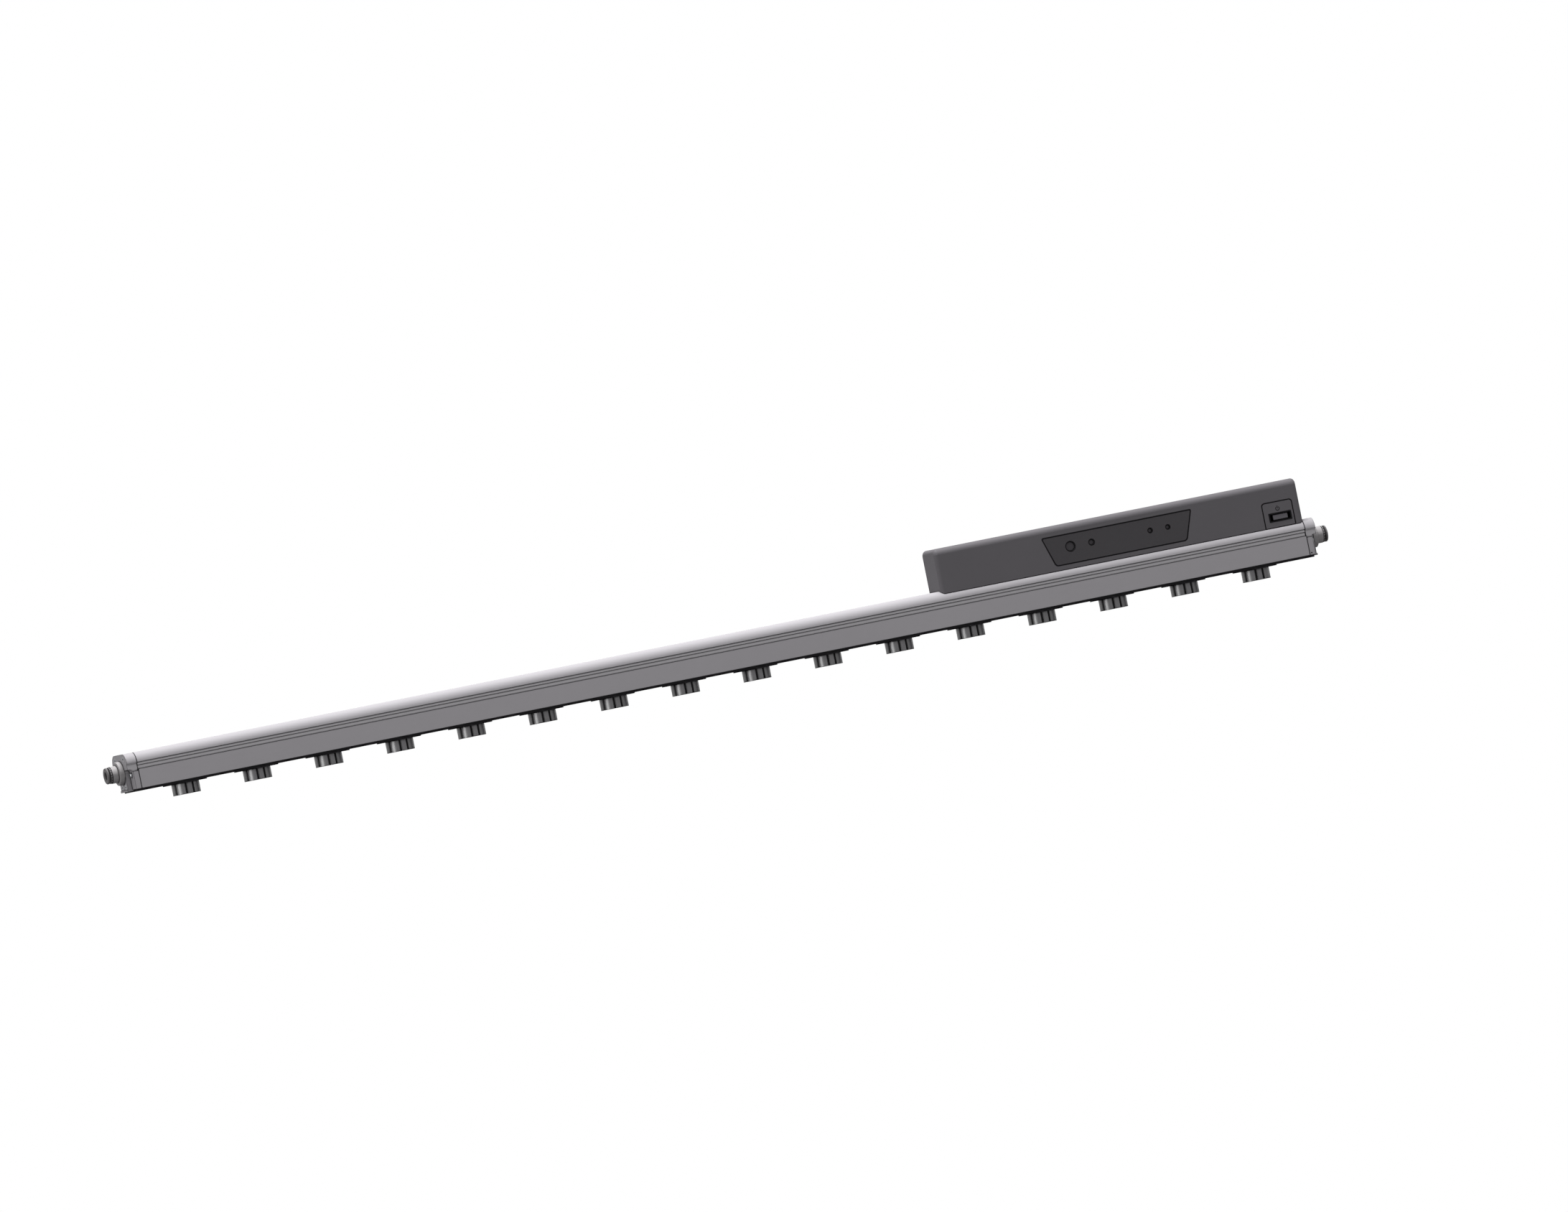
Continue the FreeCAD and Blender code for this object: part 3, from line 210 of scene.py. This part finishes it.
def paint_groove_light(material, foot, top, mouth, colour):
    """Painted light: a brighter tone on upright faces between two levels, further in than a half width,
    lifting the shade in the grooves.
    """
    tree = material.node_tree
    coords = add_node(tree, "ShaderNodeTexCoord")
    place = add_node(tree, "ShaderNodeSeparateXYZ", {"Vector": coords.outputs["Object"]})
    across = add_node(tree, "ShaderNodeMath", {0: place.outputs["Y"]}, operation="ABSOLUTE")
    inside = add_node(tree, "ShaderNodeMath", {0: across.outputs[0], 1: mouth}, operation="LESS_THAN")
    above = add_node(tree, "ShaderNodeMath", {0: place.outputs["Z"], 1: foot}, operation="GREATER_THAN")
    below = add_node(tree, "ShaderNodeMath", {0: place.outputs["Z"], 1: top}, operation="LESS_THAN")
    level = add_node(tree, "ShaderNodeMath", {
        0: above.outputs[0], 1: below.outputs[0]}, operation="MULTIPLY")
    sunk = add_node(tree, "ShaderNodeMath", {0: level.outputs[0], 1: inside.outputs[0]}, operation="MULTIPLY")
    facing = add_node(tree, "ShaderNodeSeparateXYZ", {"Vector": coords.outputs["Normal"]})
    turned = add_node(tree, "ShaderNodeMath", {0: facing.outputs["Y"]}, operation="ABSOLUTE")
    sideways = add_node(tree, "ShaderNodeMath", {
        0: turned.outputs[0], 1: SIDEWAYS}, operation="GREATER_THAN")
    share = add_node(tree, "ShaderNodeMath", {
        0: sunk.outputs[0], 1: sideways.outputs[0]}, operation="MULTIPLY")
    # Painted light: the brighter tone is laid where the mask is 1.
    lay_colour(material, share.outputs[0], colour)


GROOVE_FOOT = 26.7 * MM
GROOVE_TOP = 32.1 * MM
GROOVE_MOUTH = 18.3 * MM
extruded_abs = plastic("extruded_abs_satin", "#838184", "#807e81", 0.55, 0.7, 0.02, run=(400, 1, 1))
dress(extruded_abs, "bar_housing")
# Painted light on the upright faces of the housing's grooves.
paint_groove_light(extruded_abs, GROOVE_FOOT, GROOVE_TOP, GROOVE_MOUTH, "#a09ea1")

# Bottom cover: moulded ABS, snapped up between the housing's walls, much darker than them and
# with the fine even grain of a spark-eroded mould.
moulded_abs = plastic("moulded_abs_grained", "#282729", "#232224", 0.5, 0.5, 0.03)
dress(moulded_abs, "bottom_cover")

# Seals: nitrile rubber rings in the bores of the cover and in the mouths of the fittings. The
# rubber is matt and takes a little dust, which makes it uneven.
nitrile = plastic("nitrile_rubber", "#1f1f20", "#262626", 0.55, 0.3, 0.02)
dress(nitrile, "cartridge_seals", "tube_seals")

# Bus carrier and controller base: moulded in glass-filled nylon, pale, and slightly rough from
# the fibres near its surface.
filled_nylon = plastic("glass_filled_nylon", "#d6d2c6", "#cdc9bd", 0.6, 0.25, 0.02, run=(3, 1, 1))
dress(filled_nylon, "bus_carrier", "controller_base")


# Bus, springs and collets: bright strip, rolled along its length, which leaves a fine
# straight grain.
def rolled_metal(name, colour, darker, roughness, grain, relief, run=(1, 1, 1)):
    """A bare metal with a fine grain; sizes are in millimetres, as in plastic."""
    material, tree = new_tree(name)
    coords = add_node(tree, "ShaderNodeTexCoord")
    stretched = add_node(tree, "ShaderNodeMapping", {
        "Vector": coords.outputs["Object"], "Scale": [1 / (grain * MM * share) for share in run]})
    fine = add_node(tree, "ShaderNodeTexNoise", {"Vector": stretched.outputs[0], "Scale": 1, "Detail": 3})
    tone = add_node(tree, "ShaderNodeMix", {
        "Factor": fine.outputs["Fac"], "A": linear(colour), "B": linear(darker)}, data_type="RGBA")
    gloss = add_node(tree, "ShaderNodeMapRange", {
        "Value": fine.outputs["Fac"], "From Min": 0.3, "From Max": 0.7,
        "To Min": roughness - 0.06, "To Max": roughness + 0.06})
    bump = add_node(tree, "ShaderNodeBump", {
        "Height": fine.outputs["Fac"], "Distance": relief * MM, "Strength": 0.5})
    shade = add_node(tree, "ShaderNodeBsdfPrincipled", {
        "Base Color": tone.outputs["Result"], "Metallic": 1, "Roughness": gloss.outputs[0],
        "Normal": bump.outputs[0]})
    add_node(tree, "ShaderNodeOutputMaterial", {"Surface": shade.outputs[0]})
    return material


brass_strip = rolled_metal("rolled_brass", "#c9a763", "#b8954f", 0.3, 0.2, 0.01, run=(60, 1, 1))
dress(brass_strip, "high_voltage_bus")
spring_steel = rolled_metal("rolled_spring_steel", "#bdbcba", "#a9a8a6", 0.28, 0.2, 0.01, run=(20, 1, 1))
dress(spring_steel, "contact_springs", "grab_collets")

# Emitter cartridges: knobs moulded in a darker, glossier ABS than the bar, with painted shade in
# the flutes round them, dark at their floors and gone at their crests. The painted shade also
# takes the gloss away. The knobs stand in a row with one pitch, so one mask serves them all.
CARTRIDGES = ["%02d" % number for number in range(1, 17)]
FIRST_KNOB = -450 * MM
KNOB_PITCH = 60 * MM
FLUTE_FLOOR = 10.5 * MM
FLUTE_CREST = 11.05 * MM
RIM_START = 9.9 * MM
FOOT_LEVEL = 0.1 * MM
knob_abs = plastic("moulded_abs_knob", "#605e61", "#5c5a5d", 0.3, 0.25, 0.002, sheen=1.0)
dress(knob_abs, *["emitter_cartridge_" + number for number in CARTRIDGES])
tree = knob_abs.node_tree
coords = add_node(tree, "ShaderNodeTexCoord")
place = add_node(tree, "ShaderNodeSeparateXYZ", {"Vector": coords.outputs["Object"]})
along = add_node(tree, "ShaderNodeMath", {
    0: place.outputs["X"], 1: KNOB_PITCH / 2 - FIRST_KNOB}, operation="ADD")
cell = add_node(tree, "ShaderNodeMath", {0: along.outputs[0], 1: KNOB_PITCH}, operation="FLOORED_MODULO")
offset = add_node(tree, "ShaderNodeMath", {0: cell.outputs[0], 1: KNOB_PITCH / 2}, operation="SUBTRACT")
flat = add_node(tree, "ShaderNodeCombineXYZ", {"X": offset.outputs[0], "Y": place.outputs["Y"]})
reach = add_node(tree, "ShaderNodeVectorMath", {0: flat.outputs[0]}, operation="LENGTH")
# Painted shade in the flutes: full at their floors, none at their crests.
flute_shade = add_node(tree, "ShaderNodeMapRange", {
    "Value": reach.outputs["Value"], "From Min": FLUTE_FLOOR, "From Max": FLUTE_CREST,
    "To Min": 1, "To Max": 0})
outer = add_node(tree, "ShaderNodeMath", {0: reach.outputs["Value"], 1: RIM_START}, operation="GREATER_THAN")
wall = add_node(tree, "ShaderNodeMath", {0: place.outputs["Z"], 1: FOOT_LEVEL}, operation="GREATER_THAN")
side = add_node(tree, "ShaderNodeMath", {0: outer.outputs[0], 1: wall.outputs[0]}, operation="MULTIPLY")
share = add_node(tree, "ShaderNodeMath", {0: side.outputs[0], 1: flute_shade.outputs[0]}, operation="MULTIPLY")
lay_colour(knob_abs, share.outputs[0], PAINTED_SHADE_TONE)
# The painted shade also cuts the specular level in the flutes.
flute_shade_gloss = add_node(tree, "ShaderNodeMapRange", {"Value": share.outputs[0], "To Min": 1, "To Max": 0.05})
shade = next(node for node in tree.nodes if node.bl_idname == "ShaderNodeBsdfPrincipled")
tree.links.new(flute_shade_gloss.outputs[0], shade.inputs["Specular IOR Level"])

# Electrode needles: two of tungsten alloy in each cartridge, ground to a point, which leaves
# fine rings round them.
ground_tungsten = rolled_metal("ground_tungsten", "#a4a5a9", "#8c8d91", 0.32, 0.12, 0.008, run=(1, 1, 8))
dress(ground_tungsten, *["electrode_needles_" + number for number in CARTRIDGES])

# End caps: moulded in the bar's colour, screwed over a thin rubber gasket that shows as a
# dark seam round the housing's ends. The caps carry the grooves on, with painted light on
# their upright faces, a little less bright than on the housing.
CAP_GROOVE_FOOT = 25.5 * MM
CAP_GROOVE_TOP = 31.9 * MM
cap_abs = plastic("moulded_abs_cap", "#807e81", "#7d7b7e", 0.52, 0.5, 0.02)
dress(cap_abs, "left_end_cap", "right_end_cap")
# Painted light: a brighter tone on the upright faces of the caps' grooves.
paint_groove_light(cap_abs, CAP_GROOVE_FOOT, CAP_GROOVE_TOP, GROOVE_MOUTH, "#949295")
dress(nitrile, "left_end_gasket", "right_end_gasket")

# Screws: zinc-plated steel, with the cloudy bright finish of the plating.
zinc_plate = rolled_metal("zinc_plated_steel", "#a9aaad", "#8f9093", 0.34, 0.8, 0.008)
dress(zinc_plate, "cap_screws", "carrier_screws", "controller_screws")

# Push-in fittings: bodies moulded in grey PBT with a smooth satin face, and release rings in a
# darker acetal.
pbt = plastic("moulded_pbt_satin", "#7f7d7e", "#7b797a", 0.5, 0.8, 0.01)
dress(pbt, "left_fitting_body", "right_fitting_body")
acetal = plastic("moulded_acetal", "#5b595a", "#575556", 0.45, 0.8, 0.01)
dress(acetal, "left_release_ring", "right_release_ring")

# High-voltage module and lead: the module is potted in black resin, which sets with a slight
# ripple, and the lead is covered in smooth dark red silicone.
potting_resin = plastic("cast_potting_resin", "#242326", "#1f1e21", 0.3, 2.5, 0.05)
dress(potting_resin, "high_voltage_module")
silicone = plastic("silicone_sleeve", "#5a2d28", "#522823", 0.5, 0.4, 0.02)
dress(silicone, "high_voltage_lead")

# Control board: glass laminate under a green solder mask, which shows the weave faintly.
solder_mask = plastic("solder_mask_green", "#2c5a3d", "#285438", 0.3, 0.9, 0.01)
dress(solder_mask, "control_board")

# Controller cover and socket plate: ABS moulded in a darker grey than the bar.
cover_abs = plastic("moulded_abs_dark", "#504e51", "#4d4b4e", 0.5, 0.5, 0.02)
dress(cover_abs, "controller_cover", "socket_plate")

# Front panel: a printed polyester film with a satin face, laid in the cover's recess, with a
# thin black border printed just inside its edge.
polyester = plastic("printed_polyester_film", "#4f4d4f", "#4c4a4d", 0.42, 0.4, 0.006)
dress(polyester, "panel_film")
CORNER_STEPS = 8
LEAST_RADIUS = 0.05


def outline(corners, inset):
    """A rounded outline drawn in by an inset; corners are (x, z, radius) in mm, anticlockwise."""
    sharp = [Vector((x, z)) for x, z, _ in corners]
    points = []
    for index, (_, _, radius) in enumerate(corners):
        before = (sharp[index] - sharp[index - 1]).normalized()
        after = (sharp[(index + 1) % len(sharp)] - sharp[index]).normalized()
        inward = Vector((-before.y, before.x))
        other = Vector((-after.y, after.x))
        corner = sharp[index] + (inward + other) * inset / (1 + before.dot(after))
        radius = max(radius - inset, LEAST_RADIUS)
        swing = math.acos(max(-1, min(1, before.dot(after))))
        centre = corner - before * radius * math.tan(swing / 2) + inward * radius
        for step in range(CORNER_STEPS + 1):
            angle = swing * step / CORNER_STEPS
            points.append(centre + Matrix.Rotation(angle, 2) @ (inward * -radius))
    return points


def fix_to_bar(name, mesh, material):
    """A piece made from a mesh, fixed to the bar."""
    data = bpy.data.meshes.new(name)
    mesh.to_mesh(data)
    mesh.free()
    data.materials.append(material)
    piece = bpy.data.objects.new(name, data)
    bpy.context.collection.objects.link(piece)
    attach(piece, "bar")


def printed_band(name, bands, front, thickness, material):
    """Flat bands, each between an outer and an inner line of points, on a face towards -Y."""
    mesh = bmesh.new()
    for outer, inner, closed in bands:
        back = front + thickness
        rows = []
        for line, y in ((outer, front), (inner, front), (inner, back), (outer, back)):
            rows.append([mesh.verts.new((point.x * MM, y * MM, point.y * MM)) for point in line])
        count = len(outer)
        for index in range(count if closed else count - 1):
            following = (index + 1) % count
            for row in range(4):
                here, beside = rows[row], rows[(row + 1) % 4]
                mesh.faces.new((here[index], here[following], beside[following], beside[index]))
        if not closed:
            for index in (0, count - 1):
                mesh.faces.new([row[index] for row in rows])
    bmesh.ops.recalc_face_normals(mesh, faces=mesh.faces)
    fix_to_bar(name, mesh, material)


PANEL_MIDDLE = 339.75
PANEL_FACE = -16.7
INK = 0.03
INK_FRONT = PANEL_FACE - INK
panel_corners = [
    (PANEL_MIDDLE - 55, 41.6, 3.5), (PANEL_MIDDLE + 55, 41.6, 3.5),
    (PANEL_MIDDLE + 62.9, 65.1, 1.2), (PANEL_MIDDLE - 62.9, 65.1, 1.2)]
# The same black serves the printed lines and the painted shadow round the socket plate.
ink_and_painted_shadow = plastic("printed_ink_and_painted_shadow", "#0f0e10", "#131214", 0.45, 0.3, 0.004)
panel_lines = (outline(panel_corners, 0.05), outline(panel_corners, 0.6), True)
printed_band("panel_border", [panel_lines], INK_FRONT, INK, ink_and_painted_shadow)

# Receiver window and indicator lenses: tinted polycarbonate with a polished face, set back in
# holes that have a black ring printed round them.
polycarbonate = plastic("tinted_polycarbonate", "#444245", "#403e41", 0.2, 1.5, 0.002)
dress(polycarbonate, "panel_windows")
WINDOW_UP = 55
WINDOWS = ((-40.4, 3.85), (-22.6, 2.3), (26.6, 1.8), (41.5, 1.75))


def circle(x, z, radius):
    """Points round a circle."""
    angles = [math.tau * step / 48 for step in range(48)]
    return [Vector((x + radius * math.cos(angle), z + radius * math.sin(angle))) for angle in angles]


window_lines = []
for offset, radius in WINDOWS:
    middle = PANEL_MIDDLE + offset
    outer = circle(middle, WINDOW_UP, radius + 0.45)
    inner = circle(middle, WINDOW_UP, radius + 0.02)
    window_lines.append((outer, inner, True))
printed_band("window_rings", window_lines, INK_FRONT, INK, ink_and_painted_shadow)

# Socket plate: a dark border round it is painted shadow, standing for the gap round the plate,
# and over the socket stands the printed sign for mains power, a broken ring with an upright bar.
PLATE_MIDDLE = 472.9
PLATE_FOOT = 37.5
PLATE_TOP = 58.1
PLATE_HALF = 12.6
plate_corners = [
    (PLATE_MIDDLE - PLATE_HALF, PLATE_FOOT, 0.3), (PLATE_MIDDLE + PLATE_HALF, PLATE_FOOT, 0.3),
    (PLATE_MIDDLE + PLATE_HALF, PLATE_TOP, 2.5), (PLATE_MIDDLE - PLATE_HALF, PLATE_TOP, 2.5)]
# Painted shadow: a dark band just inside the plate's edge, where the gap round it lies.
plate_shadow_lines = (outline(plate_corners, 0.05), outline(plate_corners, 0.55), True)
printed_band("plate_painted_shadow", [plate_shadow_lines], INK_FRONT, INK, ink_and_painted_shadow)
SIGN_UP = 52.4
SIGN_RADIUS = 1.75
SIGN_LINE = 0.5
sweep = [math.radians(125 + 290 * step / 40) for step in range(41)]
ring = []
for radius in (SIGN_RADIUS, SIGN_RADIUS - SIGN_LINE):
    ring.append([Vector((PLATE_MIDDLE + radius * math.cos(angle), SIGN_UP + radius * math.sin(angle)))
                 for angle in sweep])
upright = []
for side in (-0.27, 0.27):
    upright.append([Vector((PLATE_MIDDLE + side, SIGN_UP + level)) for level in (0.1, 1.2, 2.2)])
printed_band("power_sign", [(*ring, False), (*upright, False)], INK_FRONT, INK, ink_and_painted_shadow)

# Power socket: a black nylon shell. Its tongue has a grey insert moulded over the front, and
# rows of gilt contacts pressed on along its upper and lower faces.
black_nylon = plastic("moulded_nylon_black", "#121213", "#161617", 0.42, 0.4, 0.015)
dress(black_nylon, "power_socket")


def small_block(mesh, low, high, bevel):
    """A box with its edges broken, between two corners in mm."""
    middle = [(a + b) / 2 * MM for a, b in zip(low, high)]
    size = [(b - a) * MM for a, b in zip(low, high)]
    made = bmesh.ops.create_cube(mesh, size=1)["verts"]
    bmesh.ops.scale(mesh, vec=size, verts=made)
    bmesh.ops.translate(mesh, vec=middle, verts=made)
    edges = list({edge for vert in made for edge in vert.link_edges})
    bmesh.ops.bevel(mesh, geom=edges, offset=bevel * MM, segments=2, profile=0.5, affect="EDGES")


def moulded_piece(name, boxes, bevel, material):
    """One piece made of small broken-edged blocks."""
    mesh = bmesh.new()
    for low, high in boxes:
        small_block(mesh, low, high, bevel)
    fix_to_bar(name, mesh, material)


SOCKET_MIDDLE = PLATE_MIDDLE + 1.1
SOCKET_UP = 45.8
TONGUE_FRONT = PANEL_FACE + 0.4
INSERT_HALF = 6.1
INSERT_RISE = 1.95
grey_pbt = plastic("moulded_pbt_insert", "#545256", "#504e52", 0.5, 0.4, 0.01)
insert_low = (SOCKET_MIDDLE - INSERT_HALF, TONGUE_FRONT - 0.35, SOCKET_UP - INSERT_RISE)
insert_high = (SOCKET_MIDDLE + INSERT_HALF, TONGUE_FRONT + 0.3, SOCKET_UP + INSERT_RISE)
moulded_piece("tongue_insert", [(insert_low, insert_high)], 0.12, grey_pbt)
CONTACTS = 8
CONTACT_PITCH = 1.4
CONTACT_HALF = 0.35
CONTACT_SPAN = (0.5, 5)
CONTACT_THICKNESS = 0.12
TONGUE_RISE = 1.85
gilt = rolled_metal("gilt_contact", "#d9b566", "#c9a251", 0.25, 0.1, 0.003, run=(1, 20, 1))
contacts = []
for index in range(CONTACTS):
    x = SOCKET_MIDDLE + (index - (CONTACTS - 1) / 2) * CONTACT_PITCH
    start, end = [TONGUE_FRONT + depth for depth in CONTACT_SPAN]
    for side in (-1, 1):
        face = SOCKET_UP + side * TONGUE_RISE
        low, high = sorted((face, face + side * CONTACT_THICKNESS))
        contacts.append(((x - CONTACT_HALF, start, low), (x + CONTACT_HALF, end, high)))
moulded_piece("socket_contacts", contacts, 0.03, gilt)
